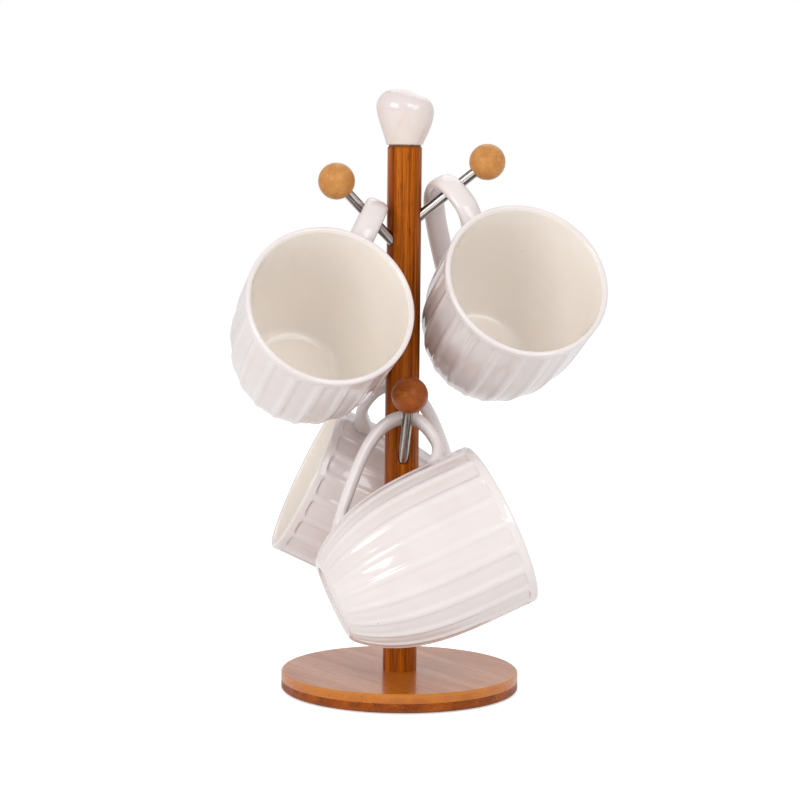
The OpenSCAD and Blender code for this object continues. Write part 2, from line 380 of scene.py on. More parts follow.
def alongFibres(tree, source, turn):
    # the pattern is turned so that its Z runs along the fibres
    mapping = addNode(tree, "ShaderNodeMapping")
    mapping.inputs["Rotation"].default_value = [math.radians(a) for a in turn]
    tree.links.new(source, mapping.inputs["Vector"])
    return mapping.outputs["Vector"]


def bambooFinish(name, look):
    finish, tree, shader = newFinish(name, look["shader"])
    source = ownVector(tree, look["ownFrame"])
    grain = placeGroup(tree, fibreGrainAndStreaks, look["grain"])
    tree.links.new(alongFibres(tree, source, look["turn"]), grain.inputs["Vector"])
    blotch = addNode(tree, "ShaderNodeTexNoise",
                     {"Scale": look["blotchScale"], "Detail": 4.0, "Roughness": 0.6})
    tree.links.new(source, blotch.inputs["Vector"])
    colour = blendColours(tree, spread(tree, blotch.outputs["Fac"], 0.42, 0.68, 0.0, look["blotch"]),
                          grain.outputs["Color"], look["blotchColour"])
    if "edge" in look:
        edge = placeGroup(tree, easedEdge, look["edge"])
        tree.links.new(source, edge.inputs["Vector"])
        colour = blendColours(tree, sums(tree, "MULTIPLY", edge.outputs["Mask"], look["edgeAmount"]),
                              colour, look["edgeColour"])
    # painted shadow: the post colour is darkened round each rod hole
    for height, heading, tilt in look.get("holes", ()):
        hole = placeGroup(tree, paintedHoleShadow,
                          {"Start": (0, 0, height * mm), "Along": armDirection(heading, tilt)})
        tree.links.new(source, hole.inputs["Vector"])
        colour = blendColours(tree, sums(tree, "MULTIPLY", hole.outputs["Mask"], look["holeShadowAmount"]),
                              colour, look["holeShadowColour"])
    tree.links.new(colour, shader.inputs["Base Color"])
    rough = spread(tree, grain.outputs["Strength"], 0.0, 1.0, look["roughDark"], look["roughPale"])
    tree.links.new(rough, shader.inputs["Roughness"])
    bumpFrom(tree, shader, grain.outputs["Strength"], look["bump"], 0.0001)
    return finish


armPlaces = {      # height where the rod's line meets the post's axis, heading, tilt above level
    "upper_left": (257.5, -146, 41.5), "upper_right": (272, -4, 39),
    "lower_front": (128, -84, 50.5), "lower_back": (149, 102, 38.5),
}

postLook = {
    "shader": {"Specular IOR Level": 0.22, "Specular Tint": (1, 0.6, 0.3, 1)},
    "ownFrame": False, "turn": (0, 0, 0),
    "grain": {"Pale": (0.52, 0.135, 0.006, 1), "Dark": (0.14, 0.018, 0.0015, 1),
              "Fleck": (0.06, 0.011, 0.002, 1), "Fleck Amount": 0.5,
              "Fibre Width": 0.0006, "Fibre Length": 0.05, "Strip Width": 0.0032},
    "blotchScale": 30.0, "blotch": 0.4, "blotchColour": (0.2, 0.032, 0.002, 1),
    "edge": {"Radius": 0.0098, "Height": 0.3194, "Width": 0.0012},
    "edgeAmount": 0.7, "edgeColour": (0.14, 0.04, 0.012, 1),
    "roughDark": 0.42, "roughPale": 0.3, "bump": 0.25,
    # the colour and strength of the painted shadow round the rod holes
    "holes": list(armPlaces.values()), "holeShadowColour": (0.03, 0.01, 0.004, 1), "holeShadowAmount": 0.85,
}
baseTopLook = {
    "shader": {"Coat Weight": 0.5, "Coat Roughness": 0.12, "Specular Tint": (1, 0.75, 0.5, 1)},
    "ownFrame": False, "turn": (90, 35, 0),
    "grain": {"Pale": (0.56, 0.175, 0.015, 1), "Dark": (0.38, 0.095, 0.006, 1),
              "Fleck": (0.2, 0.045, 0.005, 1), "Fleck Amount": 0.4,
              "Fibre Width": 0.0007, "Fibre Length": 0.03, "Strip Width": 0.009},
    "blotchScale": 22.0, "blotch": 0.3, "blotchColour": (0.52, 0.17, 0.02, 1),
    "edge": {"Radius": 0.0696, "Height": 0.0112, "Width": 0.0016},
    "edgeAmount": 0.45, "edgeColour": (0.56, 0.22, 0.02, 1),
    "roughDark": 0.38, "roughPale": 0.26, "bump": 0.2,
}
baseLowerLook = {
    "shader": {"Specular IOR Level": 0.3, "Specular Tint": (1, 0.6, 0.3, 1),
               "Coat Weight": 0.1, "Coat Roughness": 0.2},
    "ownFrame": False, "turn": (90, -50, 0),
    "grain": {"Pale": (0.38, 0.085, 0.006, 1), "Dark": (0.17, 0.03, 0.003, 1),
              "Fleck": (0.52, 0.17, 0.02, 1), "Fleck Amount": 0.5,
              "Fibre Width": 0.0006, "Fibre Length": 0.02, "Strip Width": 0.006},
    "blotchScale": 60.0, "blotch": 0.6, "blotchColour": (0.1, 0.022, 0.006, 1),
    "edge": {"Radius": 0.0696, "Height": 0.0012, "Width": 0.0016},
    "edgeAmount": 0.5, "edgeColour": (0.26, 0.07, 0.015, 1),
    "roughDark": 0.45, "roughPale": 0.32, "bump": 0.25,
}
ballLook = {
    "shader": {"Specular IOR Level": 0.35, "Specular Tint": (1, 0.75, 0.5, 1),
               "Coat Weight": 0.06, "Coat Roughness": 0.2},
    "ownFrame": True, "turn": (70, 15, 0),
    "grain": {"Pale": (0.56, 0.265, 0.08, 1), "Dark": (0.46, 0.19, 0.045, 1),
              "Fleck": (0.34, 0.11, 0.02, 1), "Fleck Amount": 0.35,
              "Fibre Width": 0.0007, "Fibre Length": 0.014, "Strip Width": 0.004},
    "blotchScale": 90.0, "blotch": 0.4, "blotchColour": (0.43, 0.155, 0.03, 1),
    "roughDark": 0.4, "roughPale": 0.3, "bump": 0.1,
}
# partly darker wood and partly painted shade: a darker copy of the ball wood for the lower balls, which hang
# in the shade under the upper mugs
shadedDarkBallLook = dict(
    ballLook, blotchColour=(0.19, 0.035, 0.003, 1),
    grain=dict(ballLook["grain"], Pale=(0.32, 0.075, 0.006, 1), Dark=(0.21, 0.042, 0.003, 1),
               Fleck=(0.1, 0.018, 0.002, 1)))
dowelLook = dict(ballLook, ownFrame=False, turn=(0, 0, 0))
corkLook = {
    "shader": {"Specular IOR Level": 0.2},
    "ownFrame": False, "turn": (90, 0, 0),
    "grain": {"Pale": (0.3, 0.17, 0.09, 1), "Dark": (0.14, 0.075, 0.04, 1),
              "Fleck": (0.06, 0.03, 0.02, 1), "Fleck Amount": 0.9,
              "Fibre Width": 0.0005, "Fibre Length": 0.0008, "Strip Width": 0.002},
    "blotchScale": 400.0, "blotch": 0.5, "blotchColour": (0.08, 0.04, 0.025, 1),
    "roughDark": 0.9, "roughPale": 0.75, "bump": 0.6,
}


def glazeFinish(name, look):
    finish, tree, shader = newFinish(name, look["shader"])
    flow = placeGroup(tree, glazeFlow, look["flow"])
    tree.links.new(ownVector(tree), flow.inputs["Vector"])
    # painted shade: the recess attribute darkens the glaze in recesses and creases
    if look["paintedShade"]:
        dip = addNode(tree, "ShaderNodeAttribute", attribute_name="recessShade")
        tree.links.new(sums(tree, "MULTIPLY", dip.outputs["Fac"], look["paintedShade"]), flow.inputs["Painted Shade"])
    tree.links.new(flow.outputs["Color"], shader.inputs["Base Color"])
    tree.links.new(flow.outputs["Roughness"], shader.inputs["Roughness"])
    bumpFrom(tree, shader, flow.outputs["Height"], look["bump"], 0.0002)
    return finish


mugGlazeLook = {
    "shader": {"IOR": 1.5, "Coat Weight": 0.4, "Coat Roughness": 0.04},
    "flow": {"Thick": (0.745, 0.69, 0.672, 1), "Thin": (0.68, 0.6, 0.575, 1), "Pinholes": 0.5},
    "paintedShade": 0.3, "bump": 0.12,
}
# the inside glaze: slightly creamier, and much lighter than the outside glaze, painted light standing in for
# the light bounced round inside the cup
creamLitInsideLook = {
    "shader": {"IOR": 1.5, "Coat Weight": 0.3, "Coat Roughness": 0.08},
    "flow": {"Thick": (0.945, 0.888, 0.825, 1), "Thin": (0.93, 0.862, 0.79, 1), "Pinholes": 0.4},
    "paintedShade": 0.0, "bump": 0.1,
}
finialGlazeLook = {
    "shader": {"IOR": 1.5, "Coat Weight": 0.35, "Coat Roughness": 0.1},
    "flow": {"Thick": (0.68, 0.6, 0.575, 1), "Thin": (0.62, 0.52, 0.4, 1), "Pinholes": 0.3},
    "paintedShade": 0.45, "bump": 0.1,
}


def steelFinish(name, look):
    finish, tree, shader = newFinish(name, look["shader"])
    # the fine lines that drawing the steel leaves run long, as fibres do; the wider dark strips are painted
    # reflections of dark surroundings, streaking along the rod
    linesAndReflections = placeGroup(tree, fibreGrainAndStreaks, look["linesAndReflections"])
    tree.links.new(alongFibres(tree, ownVector(tree, look["ownFrame"]), look["turn"]), linesAndReflections.inputs["Vector"])
    tree.links.new(linesAndReflections.outputs["Color"], shader.inputs["Base Color"])
    tree.links.new(spread(tree, linesAndReflections.outputs["Strength"], 0.0, 1.0, look["roughLow"], look["roughHigh"]),
                   shader.inputs["Roughness"])
    bumpFrom(tree, shader, linesAndReflections.outputs["Strength"], look["bump"], 0.00005)
    return finish


rodLook = {
    "shader": {"Metallic": 1.0},
    "ownFrame": True, "turn": (0, 0, 0),
    # painted reflections: the dark strips stand for dark surroundings mirrored in the polished rod
    "linesAndReflections": {"Pale": (0.78, 0.76, 0.73, 1), "Dark": (0.085, 0.07, 0.06, 1),
              "Fleck": (0.05, 0.04, 0.03, 1), "Fleck Amount": 0.3,
              "Fibre Width": 0.0011, "Fibre Length": 0.03, "Strip Width": 0.0016},
    "roughLow": 0.1, "roughHigh": 0.2, "bump": 0.05,
}
# the screw carries the same painted reflection streaks
screwLook = dict(rodLook, ownFrame=False, turn=(90, 0, 0), roughLow=0.3, roughHigh=0.5)


def rubberFinish(name, look):
    finish, tree, shader = newFinish(name, look["shader"])
    source = ownVector(tree)
    crumbs = addNode(tree, "ShaderNodeTexVoronoi", {"Scale": look["crumbScale"]})
    dusty = addNode(tree, "ShaderNodeTexNoise", {"Scale": look["dustScale"], "Detail": 5.0})
    for texture in (crumbs, dusty):
        tree.links.new(source, texture.inputs["Vector"])
    tree.links.new(blendColours(tree, spread(tree, dusty.outputs["Fac"], 0.4, 0.75, 0.0, 0.6),
                                look["colour"], look["dust"]), shader.inputs["Base Color"])
    tree.links.new(spread(tree, dusty.outputs["Fac"], 0.3, 0.7, 0.7, 0.95), shader.inputs["Roughness"])
    bumpFrom(tree, shader, crumbs.outputs["Distance"], 0.5, 0.0002)
    return finish


padLook = {
    "shader": {"Specular IOR Level": 0.25}, "crumbScale": 900.0, "dustScale": 70.0,
    "colour": (0.035, 0.034, 0.033, 1), "dust": (0.11, 0.105, 0.1, 1),
}

postBamboo = bambooFinish("postBamboo", postLook)
baseTopBamboo = bambooFinish("baseTopBamboo", baseTopLook)
baseLowerBamboo = bambooFinish("baseLowerBamboo", baseLowerLook)
ballWood = bambooFinish("ballWood", ballLook)
shadedDarkBallWood = bambooFinish("shadedDarkBallWood", shadedDarkBallLook)
dowelWood = bambooFinish("dowelWood", dowelLook)
corkDisc = bambooFinish("corkDisc", corkLook)
mugGlaze = glazeFinish("mugGlaze", mugGlazeLook)
creamLitInsideGlaze = glazeFinish("creamLitInsideGlaze", creamLitInsideLook)
finialGlaze = glazeFinish("finialGlaze", finialGlazeLook)
rodSteel = steelFinish("rodSteel", rodLook)
screwSteel = steelFinish("screwSteel", screwLook)
padRubber = rubberFinish("padRubber", padLook)
print("finishes ready:", len(bpy.data.materials))


mug = {
    "height": 105.0, "rimRadius": 48.0, "footRadius": 24.0, "wall": 3.2, "lip": 1.6,
    "bellyShare": 0.79,        # share of the height where the side becomes straight
    "bellyPower": 0.87,        # a smaller power makes a fuller belly
    "floor": 6.0, "recess": 1.5, "footRing": 4.0,
    "outsideHeights": (1.4, 3.2, 6, 9.5, 14, 19, 25, 32, 40, 48, 56, 64, 72, 80, 87, 93),
    "fluteEndSteps": (-2.2, -0.8, -0.25, 0.25, 0.9, 2.2),      # close rings where the flutes end
    "insideHeights": (100, 92, 82, 72, 62, 52, 43, 35, 28, 22, 17, 13, 10, 8.2),
    "floorRings": [        # rise above the floor and radius: the rounded corner, then a shallow ring
        (0.9, 26.6), (0.25, 24.9), (0, 23.2), (0, 22.6), (-0.25, 22.2), (0, 21.8), (0, 21.2)],
    "flutes": 20, "pointsPerFlute": 10, "fluteLow": 3.0, "fluteTop": 99.6,
    "fluteDepth": 0.02,        # share of the radius
    "panelBulge": 0.25,        # share of the depth that the middle of a panel swells back
    "outsideBand": 0.8,        # how near the smooth outside a point counts as part of it
}


def mugRadius(height):
    t = min(height / (mug["height"] * mug["bellyShare"]), 1)
    grown = (1 - (1 - t) ** 3) ** mug["bellyPower"]
    return mug["footRadius"] + (mug["rimRadius"] - mug["footRadius"]) * grown


def mugRings():
    # from the recess under the foot, out and up the side, over the lip and down to the floor
    innerFoot = mug["footRadius"] - mug["footRing"]
    rings = [(mug["recess"], innerFoot - 0.4), (0.4, innerFoot), (0, innerFoot + 0.6),
             (0, mug["footRadius"] - 0.7), (0.4, mugRadius(0.2))]
    for height in mug["outsideHeights"]:
        rings.append((height, mugRadius(height)))
    for step in mug["fluteEndSteps"]:
        rings.append((mug["fluteTop"] + step, mug["rimRadius"]))
    middle, lipHeight = mug["rimRadius"] - mug["lip"], mug["height"] - mug["lip"]
    for angle in range(0, 181, 30):
        a = math.radians(angle)
        rings.append((lipHeight + mug["lip"] * math.sin(a), middle + mug["lip"] * math.cos(a)))
    for height in mug["insideHeights"]:
        rings.append((height, mugRadius(height) - mug["wall"]))
    for rise, radius in mug["floorRings"]:
        rings.append((mug["floor"] + rise, radius))
    return rings


def pressedBy(co):
    # how far a point lies inside the smooth outside
    return mugRadius(co.z / mm) - math.hypot(co.x, co.y) / mm


def fluteIndex(co):
    sides = mug["flutes"] * mug["pointsPerFlute"]
    return round(math.atan2(co.y, co.x) / math.tau * sides) % mug["pointsPerFlute"]


def isOutside(co):
    return abs(pressedBy(co)) < mug["outsideBand"] and co.z > 1 * mm


def pressFlutes(body):
    # the panels between the ridges are pressed in; each has a square upper end and a slightly full middle
    panel, inner, middle = range(2, 9), range(3, 8), range(4, 7)      # columns, counted from the ridge
    depth, low, top = mug["fluteDepth"], mug["fluteLow"], mug["fluteTop"]
    swell = -depth * mug["panelBulge"] / 2
    presses = (
        (panel, low, top - 0.5, depth), (inner, top - 0.5, top, depth),
        (inner, low, top - 3, swell), (middle, low, top - 3, swell),
    )
    for columns, first, last, press in presses:
        pickPoints(body, lambda co: isOutside(co) and first <= co.z / mm <= last
                   and fluteIndex(co) in columns)
        bpy.ops.transform.resize(value=(1 - press, 1 - press, 1), center_override=(0, 0, 0))


def makeMugBody():
    rings, sides = mugRings(), mug["flutes"] * mug["pointsPerFlute"]
    body = turnOnLathe("mugBody", rings, sides)
    for height, radius in (rings[0], rings[-1]):
        gridOver(body, height, radius, sides // 4)
    body.data.materials.append(mugGlaze)
    body.data.materials.append(creamLitInsideGlaze)
    bpy.ops.object.mode_set(mode="EDIT")
    bpy.ops.mesh.select_all(action="SELECT")
    bpy.ops.mesh.normals_make_consistent(inside=False)
    insideLow, insideRim = mug["floor"] * 0.9, mug["height"] - mug["lip"] * 0.6
    # the inside faces take the lighter inside copy of the glaze, painted light
    pickFaces(body, lambda co, normal: insideLow < co.z / mm < insideRim
              and pressedBy(co) > mug["wall"] * 0.7)
    body.active_material_index = 1
    bpy.ops.object.material_slot_assign()
    pressFlutes(body)
    bpy.ops.object.mode_set(mode="OBJECT")
    # painted shade: the pressed panels between the ridges are darkened, standing in for the shade that falls
    # in them
    dip = body.data.attributes.new("recessShade", "FLOAT", "POINT")
    for v in body.data.vertices:
        pressed = pressedBy(v.co)
        dip.data[v.index].value = min(pressed, 1) if 0.05 < pressed < 1.5 and v.co.z > 1 * mm else 0
    smoothOut(body, 1)
    return body


handle = {
    "gap": 32.0, "thick": 6.5, "wide": 13.8,
    "apexShare": 0.735, "legShare": 0.105, "bowShare": 0.88,      # heights as shares of the mug's
    "apexLow": 0.53, "apexRise": 14.5,      # the apex's pulls: a height share below it, a rise above
    "legPull": (18, 21), "bowPull": (13, 4),      # the ends' pulls, out and up
    "legDepth": 5.0, "bowDepth": 1.0,      # how deep in the wall the curve's ends lie
    "legTaper": (0.55, 0.95),      # the leg thins out where it runs into the wall
    "bowFillet": 7.5, "bowFilletReach": 12.0, "legFillet": 3.5, "legFilletReach": 8.75,
    "bowBand": 2.5, "bowOver": 80, "legBand": 3, "legUnder": 24,      # where the fillets are pulled from
    "cutHeights": (0.13, 0.9), "cutDepth": 1.8,      # where the ends are cut, and how deep in the wall
}


def strapCurve():
    # the middle line: a long leg from low on the side, and a short bow under the rim
    tall = mug["height"]
    apex = (mug["rimRadius"] + handle["gap"] + handle["thick"] / 2, tall * handle["apexShare"])
    legFoot = (mugRadius(tall * 0.125) - handle["legDepth"], tall * handle["legShare"])
    bowEnd = (mug["rimRadius"] - mug["wall"] - handle["bowDepth"], tall * handle["bowShare"])
    legPull, bowPull = handle["legPull"], handle["bowPull"]
    knots = [
        (legFoot, legFoot, (legFoot[0] + legPull[0], legFoot[1] + legPull[1])),
        ((apex[0], tall * handle["apexLow"]), apex, (apex[0], apex[1] + handle["apexRise"])),
        ((apex[0] - bowPull[0], bowEnd[1] + bowPull[1]), bowEnd, bowEnd),
    ]
    startFresh()
    bpy.ops.curve.primitive_bezier_curve_add()
    strap = bpy.context.object
    strap.name = "mugHandle"
    line = strap.data.splines[0]
    line.bezier_points.add(1)
    for point, (before, place, after) in zip(line.bezier_points, knots):
        point.handle_left_type = point.handle_right_type = "FREE"
        point.handle_left = (before[0] * mm, 0, before[1] * mm)
        point.co = (place[0] * mm, 0, place[1] * mm)
        point.handle_right = (after[0] * mm, 0, after[1] * mm)
    bpy.ops.object.mode_set(mode="EDIT")
    bpy.ops.curve.select_all(action="SELECT")
    bpy.ops.curve.subdivide(number_cuts=5)
    bpy.ops.object.mode_set(mode="OBJECT")
    for point, radius in zip(strap.data.splines[0].bezier_points, handle["legTaper"]):
        point.radius = radius
    return strap, legFoot, bowEnd


def strapSection():
    startFresh()
    bpy.ops.curve.primitive_bezier_circle_add(radius=1)
    oval = bpy.context.object
    bpy.ops.object.mode_set(mode="EDIT")
    bpy.ops.curve.select_all(action="SELECT")
    bpy.ops.transform.resize(value=(handle["wide"] / 2 * mm, handle["thick"] / 2 * mm, 1),
                             center_override=(0, 0, 0))
    bpy.ops.object.mode_set(mode="OBJECT")
    oval.data.resolution_u = 5
    return oval


def makeMugHandle():
    oval = strapSection()
    strap, legFoot, bowEnd = strapCurve()
    strap.data.resolution_u = 7
    strap.data.twist_mode = "MINIMUM"
    strap.data.bevel_mode = "OBJECT"
    strap.data.bevel_object = oval
    strap.data.use_fill_caps = True
    workOn(strap)
    bpy.ops.object.convert(target="MESH")
    strap = bpy.context.object
    bpy.data.objects.remove(oval)
    # fillets: the bow's underside is drawn down the wall, and the leg's upper side is drawn up it
    halfThick = handle["thick"] / 2
    legRise = 1.15      # slope of the leg near its foot
    bpy.ops.object.mode_set(mode="EDIT")
    pickPoints(strap, lambda co: abs(co.x / mm - mug["rimRadius"]) < handle["bowBand"]
               and handle["bowOver"] < co.z / mm < bowEnd[1] - halfThick * 0.5)
    bpy.ops.transform.translate(value=(0, 0, -handle["bowFillet"] * mm), use_proportional_edit=True,
                                proportional_edit_falloff="SHARP",
                                proportional_size=handle["bowFilletReach"] * mm)
    pickPoints(strap, lambda co: co.z / mm < handle["legUnder"]
               and abs(co.x / mm - mugRadius(co.z / mm)) < handle["legBand"]
               and co.z / mm - legFoot[1] > (co.x / mm - legFoot[0]) * legRise + halfThick * 0.4)
    bpy.ops.transform.translate(value=(0, 0, handle["legFillet"] * mm), use_proportional_edit=True,
                                proportional_edit_falloff="SHARP",
                                proportional_size=handle["legFilletReach"] * mm)
    # both ends are cut off inside the wall, along the wall
    low, high = (mug["height"] * share for share in handle["cutHeights"])
    slope = (mugRadius(low + 1) - mugRadius(low - 1)) / 2
    bpy.ops.mesh.select_mode(type="VERT")
    middle = mug["height"] / 2
    for height, normal in ((low, (1, 0, -slope)), (high, (1, 0, 0))):
        pickPoints(strap, lambda co: (co.z / mm < middle) == (height < middle))
        bpy.ops.mesh.bisect(plane_co=((mugRadius(height) - handle["cutDepth"]) * mm, 0, height * mm),
                            plane_no=normal, clear_inner=True, use_fill=True)
    bpy.ops.mesh.select_all(action="SELECT")
    bpy.ops.mesh.normals_make_consistent(inside=False)
    bpy.ops.object.mode_set(mode="OBJECT")
    strap.data.materials.clear()
    strap.data.materials.append(mugGlaze)
    bpy.ops.object.shade_smooth()
    return strap


mugPlaces = {      # heading and elevation of the mouth, roll of the handle, and middle of the underside
    "upper_left": {"heading": -74, "elevation": 27, "roll": -29, "foot": (-65.59, 18.34, 183.18)},
    "upper_right": {"heading": -74, "elevation": 29, "roll": 26, "foot": (44.98, 44.42, 193.97)},
    "lower_front": {"heading": 12, "elevation": 23.5, "roll": -30, "foot": (-37.61, -69.4, 64.56)},
    "lower_back": {"heading": -174, "elevation": 25.5, "roll": -24, "foot": (34.93, 61.67, 74.74)},
}

mugBody, mugHandle = makeMugBody(), makeMugHandle()
workOn(mugBody)
mugHandle.select_set(True)
bpy.ops.object.join()
print("mug modelled:", len(mugBody.data.polygons), "faces")
for side, place in mugPlaces.items():
    piece = copyOf(mugBody, "fluted_mug_" + side)
    turnAndPlace(piece, 180 + place["roll"], 90 - place["elevation"], place["heading"], place["foot"])
    finishPiece(piece, "mug_" + side, ["mug_" + side])
bpy.data.objects.remove(mugBody)
print("mugs hung:", len(mugPlaces))


arm = {
    "rodRadius": 3.0, "rodChamfer": 0.35, "rodSides": 64,
    "reach": 49.0,      # from the post's side to the ball's middle
    "rodSet": 12.0, "ballSet": 15.0,      # depths of the rod in the post and in the ball
    "ballRadius": 10.6, "ballSides": 48, "ballSteps": 16, "boreGap": 0.05, "boreFlare": 0.45,
    "postRadius": 10.0,
}


def makeRod(name, first, last):
    r, c = arm["rodRadius"], arm["rodChamfer"]
    rings = [(first, r - c), (first + c, r), (first + 2 * c, r),
             (last - 2 * c, r), (last - c, r), (last, r - c)]
    rod = turnOnLathe(name, rings, arm["rodSides"])
    workOn(rod)
    bpy.ops.object.shade_smooth_by_angle(angle=math.radians(35))
    return rod


def makeBall(name):
    # from the bore's end out to its flared mouth, then round the ball almost to the far pole
    r, bore = arm["ballRadius"], arm["rodRadius"] + arm["boreGap"]
    boreEnd, flared = arm["ballSet"] - r + arm["boreGap"], bore + arm["boreFlare"]
    mouth = -math.sqrt(r * r - flared ** 2)
    rings = [(boreEnd, bore), (mouth + 1.2, bore), (mouth + 0.5, bore), (mouth + 0.12, bore + 0.12),
             (mouth, flared)]
    start = math.degrees(math.asin(flared / r))
    for step in range(1, arm["ballSteps"] + 1):
        a = math.radians(start + (178 - start) * step / arm["ballSteps"])
        rings.append((-r * math.cos(a), r * math.sin(a)))
    ball = turnOnLathe(name, rings, arm["ballSides"])
    smoothOut(ball, 1)
    return ball


ballMaster = makeBall("ballMaster")
keepOwnPlace(ballMaster)
ballMaster.data.materials.append(ballWood)
for side, (height, heading, tilt) in armPlaces.items():
    postSide = arm["postRadius"] / math.cos(math.radians(tilt))
    first, centre = postSide - arm["rodSet"], postSide + arm["reach"]
    last = centre - arm["ballRadius"] + arm["ballSet"]
    rod = makeRod("steel_rod_" + side, first, last)
    keepOwnPlace(rod)
    rod.data.materials.append(rodSteel)
    turnAndPlace(rod, 0, 90 - tilt, heading, (0, 0, height))
    finishPiece(rod, "tree", ["arm_rod_" + side])
    ball = copyOf(ballMaster, "wooden_ball_" + side)
    # the lower balls take the darker copy, partly darker wood and partly painted shade
    if side.startswith("lower"):
        ball.data.materials[0] = shadedDarkBallWood
    ballTurn = 30 * len(side)      # so that no two balls near each other show the same grain
    ballPlace = Vector((0, 0, height)) + armDirection(heading, tilt) * centre
    turnAndPlace(ball, ballTurn, 90 - tilt, heading, ballPlace)
    finishPiece(ball, "tree", ["arm_ball_" + side])
bpy.data.objects.remove(ballMaster)
print("arms set:", len(armPlaces))


finial = {
    "sides": 64, "flat": 0.73,
    "rings": [      # height, half width, and how far the ring stands to the right
        (0, 9.6, -0.2), (0, 10.3, -0.2), (0.35, 10.75, -0.2), (1.6, 11.2, -0.1), (4, 12.1, 0.1),
        (7.5, 13.6, 0.4), (11, 14.9, 0.5), (14.5, 16.0, 0.4), (18, 16.8, 0.3), (21.5, 17.2, -0.1),
        (24.2, 16.5, -0.6), (26.3, 15.0, -1.2), (28, 13.0, -2.0), (29.4, 10.7, -3.1),
        (30.6, 8.6, -3.9), (31.5, 6.2, -4.2), (32, 3.2, -4.2)],
    "rounder": [      # up to this height the flattened rings are widened again, so the seat stays round
        (1.0, 1.28), (3.0, 1.24), (6.0, 1.17), (9.0, 1.1), (12.5, 1.04)],
    "crease": [      # x and height along the line between the two lobes
        (-6.9, 0.6), (-6.6, 4), (-5.7, 7.6), (-3.9, 11), (-1.4, 14.4), (1.0, 18), (3.4, 22),
        (5.6, 26.5), (6.8, 29.6)],
    # the last two set the reach and the heights of the painted shade along the crease
    "creaseDepth": 0.36, "creaseReach": 3.8, "outsideDepth": 12, "shadeReach": 2.4, "shadeFade": (13, 23),
    "dent": ((7.4, 0, 29.2), (-0.4, 0, -2.4), 4.6),      # place, move and reach of the notch on top
    "meltFactor": 0.5, "meltTimes": 5,
}


def pullPoint(obj, spot, move, reach):
    # the point nearest to spot moves, and those within reach follow it softly
    aim = Vector(spot) * mm
    nearest = min((v.co for v in obj.data.vertices), key=lambda co: (co - aim).length).copy()
    bpy.ops.object.mode_set(mode="EDIT")
    pickPoints(obj, lambda co: (co - nearest).length < 0.001 * mm)
    bpy.ops.transform.translate(value=Vector(move) * mm, use_proportional_edit=True,
                                proportional_edit_falloff="SMOOTH", proportional_size=reach * mm)
    bpy.ops.object.mode_set(mode="OBJECT")


def nearCrease(x, height):
    # painted shade along the crease between the lobes: 1 on the crease, 0 from a little way off, and fading
    # out upwards
    best = 9.0
    spot = Vector((x, height))
    for first, last in zip(finial["crease"], finial["crease"][1:]):
        first, run = Vector(first), Vector(last) - Vector(first)
        t = min(max((spot - first).dot(run) / run.length_squared, 0), 1)
        best = min(best, (spot - first - run * t).length)
    low, high = finial["shadeFade"]
    return max(1 - best / finial["shadeReach"], 0) * min(max((high - height) / (high - low), 0), 1)


def makeFinial():
    # rings carried up into a leaning bud, flattened front to back, then creased into two lobes
    shape = turnOnLathe("heart_finial", [ring[:2] for ring in finial["rings"]], finial["sides"])
    bpy.ops.object.mode_set(mode="EDIT")
    for height, _, shift in finial["rings"][1:]:
        pickPoints(shape, lambda co: isLevel(co, height))
        bpy.ops.transform.translate(value=(shift * mm, 0, 0))
    bpy.ops.mesh.select_all(action="SELECT")
    bpy.ops.transform.resize(value=(1, finial["flat"], 1), center_override=(0, 0, 0))
    below = -1
    for height, rounder in finial["rounder"]:
        pickPoints(shape, lambda co: below * mm < co.z <= height * mm)
        bpy.ops.transform.resize(value=(1, rounder, 1), center_override=(0, 0, 0))
        below = height
    bpy.ops.object.mode_set(mode="OBJECT")
    smoothOut(shape, 1)
    pullPoint(shape, *finial["dent"])
    for side in (-1, 1):
        for x, height in finial["crease"][:-1]:
            pullPoint(shape, (x, side * finial["outsideDepth"], height),
                      (0, -side * finial["creaseDepth"], 0), finial["creaseReach"])
    melt = shape.modifiers.new("melt", "SMOOTH")
    melt.factor = finial["meltFactor"]
    melt.iterations = finial["meltTimes"]
    bpy.ops.object.modifier_apply(modifier=melt.name)
    # brought to the size and place of the CAD model's finial
    low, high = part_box("finial")
    places = [v.co for v in shape.data.vertices]
    span = [(min(p[i] for p in places), max(p[i] for p in places)) for i in range(3)]
    stretch = [(high[i] - low[i]) / (span[i][1] - span[i][0]) for i in range(3)]
    bpy.ops.object.mode_set(mode="EDIT")
    bpy.ops.mesh.select_all(action="SELECT")
    bpy.ops.transform.resize(value=stretch, center_override=(0, 0, 0))
    bpy.ops.transform.translate(value=[low[i] - span[i][0] * stretch[i] for i in range(3)])
    bpy.ops.object.mode_set(mode="OBJECT")
    # painted shade: the crease between the lobes is darkened, fading out upwards
    dip = shape.data.attributes.new("recessShade", "FLOAT", "POINT")
    for v in shape.data.vertices:
        dip.data[v.index].value = nearCrease(v.co.x / mm, (v.co.z - low[2]) / mm)
    bpy.ops.object.shade_smooth_by_angle(angle=math.radians(50))
    return shape


heart = makeFinial()
heart.data.materials.append(finialGlaze)
finishPiece(heart, "tree", ["finial"])
print("finial made:", len(heart.data.polygons), "faces")


# the pieces kept from the CAD model only get their finishes
keptPieces = {
    "post": (postBamboo, "bamboo"), "base_upper_ply": (baseTopBamboo, "bamboo"),
    "base_lower_ply": (baseLowerBamboo, "bamboo_dark"), "anti_slip_pad": (padRubber, "pad"),
    "post_screw": (screwSteel, "screw_steel"), "finial_dowel": (dowelWood, "dowel"),
    "finial_washer": (corkDisc, "cork"),
}
for name, (finish, slot) in keptPieces.items():
    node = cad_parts[name]
    node.data.materials.clear()
    node.data.materials.append(finish)
print("kept pieces finished:", len(keptPieces))


